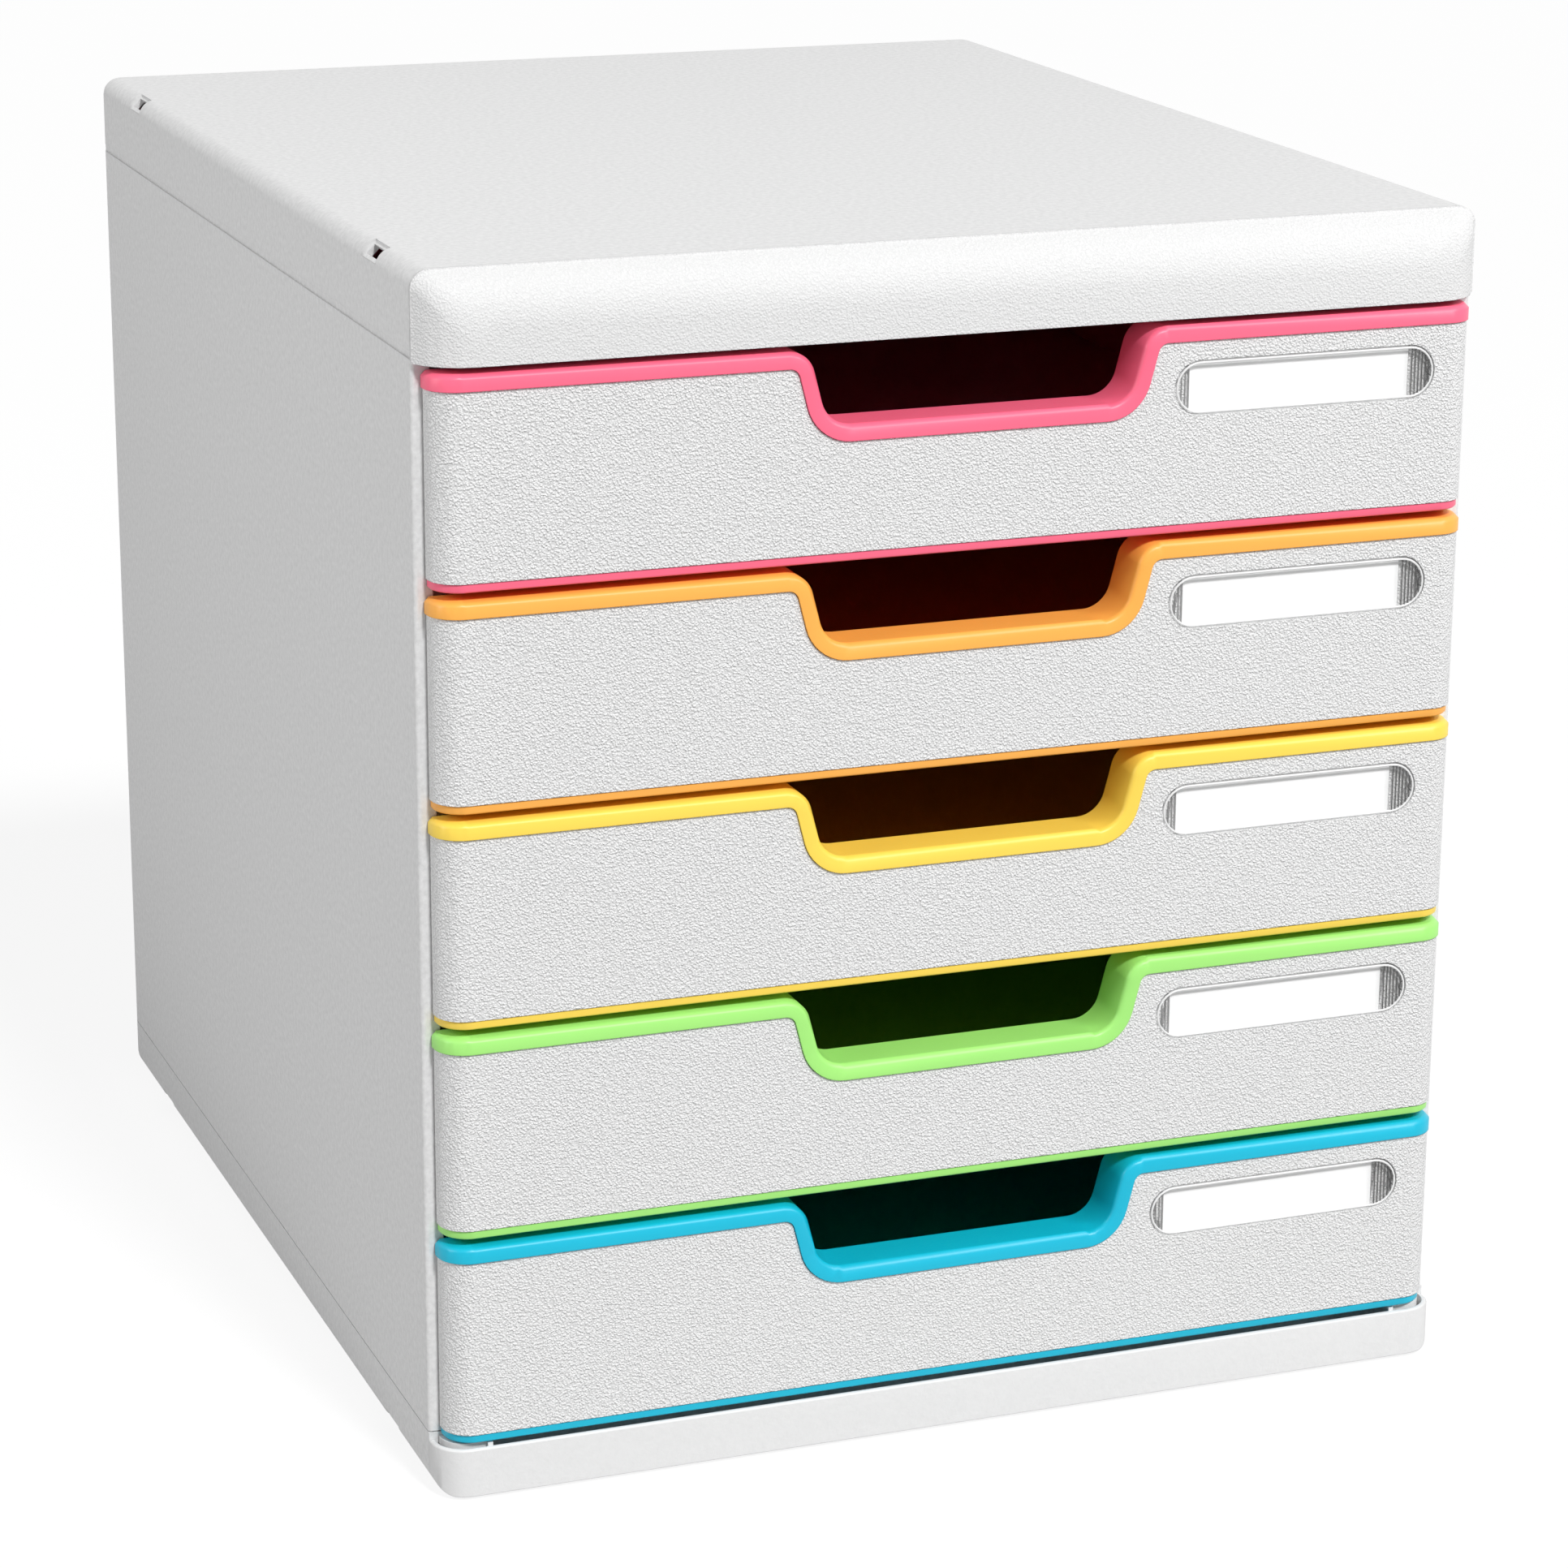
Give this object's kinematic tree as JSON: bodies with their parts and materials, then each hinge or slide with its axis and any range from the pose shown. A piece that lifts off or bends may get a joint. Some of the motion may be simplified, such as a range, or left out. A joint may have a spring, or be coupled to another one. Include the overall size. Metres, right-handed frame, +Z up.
{
  "type": "drawer tower",
  "caption": "Desk-top plastic cabinet with sliding coloured drawers, each with a finger cut-out in its rim and a clear label window.",
  "frame": {"origin": "middle of the footprint, on the surface the feet stand on", "axes": "+X to the right as seen from the front, +Y to the back, drawers open along -Y, +Z up"},
  "size_m": [0.288, 0.35, 0.32],
  "materials": {
    "cabinet_grey": "fine matte texture",
    "fascia_textured": "moulded pebble texture",
    "fascia_smooth": "smooth satin",
    "front_textured": "coarse pebble texture",
    "lens_clear": "clear polished",
    "card_white": "plain paper",
    "foot_rubber": "matt rubber",
    "tray_pink": "smooth satin, through-coloured",
    "tray_orange": "smooth satin, through-coloured",
    "tray_yellow": "smooth satin, through-coloured",
    "tray_green": "smooth satin, through-coloured",
    "tray_blue": "smooth satin, through-coloured"
  },
  "bodies": {
    "cabinet": {"top_cover": "cabinet_grey", "top_fascia": "fascia_textured", "left_side_panel": "cabinet_grey", "right_side_panel": "cabinet_grey", "back_panel": "cabinet_grey", "base_tray": "cabinet_grey", "base_fascia": "fascia_smooth", "feet": "foot_rubber"},
    "drawer_1": {"drawer_1_tray": "tray_pink", "drawer_1_front": "front_textured", "drawer_1_label_lens": "lens_clear", "drawer_1_label_card": "card_white"},
    "drawer_2": {"drawer_2_tray": "tray_orange", "drawer_2_front": "front_textured", "drawer_2_label_lens": "lens_clear", "drawer_2_label_card": "card_white"},
    "drawer_3": {"drawer_3_tray": "tray_yellow", "drawer_3_front": "front_textured", "drawer_3_label_lens": "lens_clear", "drawer_3_label_card": "card_white"},
    "drawer_4": {"drawer_4_tray": "tray_green", "drawer_4_front": "front_textured", "drawer_4_label_lens": "lens_clear", "drawer_4_label_card": "card_white"},
    "drawer_5": {"drawer_5_tray": "tray_blue", "drawer_5_front": "front_textured", "drawer_5_label_lens": "lens_clear", "drawer_5_label_card": "card_white"}
  },
  "joints": [
    {"name": "drawer_1_slide", "type": "slide", "parent": "cabinet", "child": "drawer_1", "axis": [0, -1, 0], "range_m": [0, 0.26]},
    {"name": "drawer_2_slide", "type": "slide", "parent": "cabinet", "child": "drawer_2", "axis": [0, -1, 0], "range_m": [0, 0.26]},
    {"name": "drawer_3_slide", "type": "slide", "parent": "cabinet", "child": "drawer_3", "axis": [0, -1, 0], "range_m": [0, 0.26]},
    {"name": "drawer_4_slide", "type": "slide", "parent": "cabinet", "child": "drawer_4", "axis": [0, -1, 0], "range_m": [0, 0.26]},
    {"name": "drawer_5_slide", "type": "slide", "parent": "cabinet", "child": "drawer_5", "axis": [0, -1, 0], "range_m": [0, 0.26]}
  ]
}
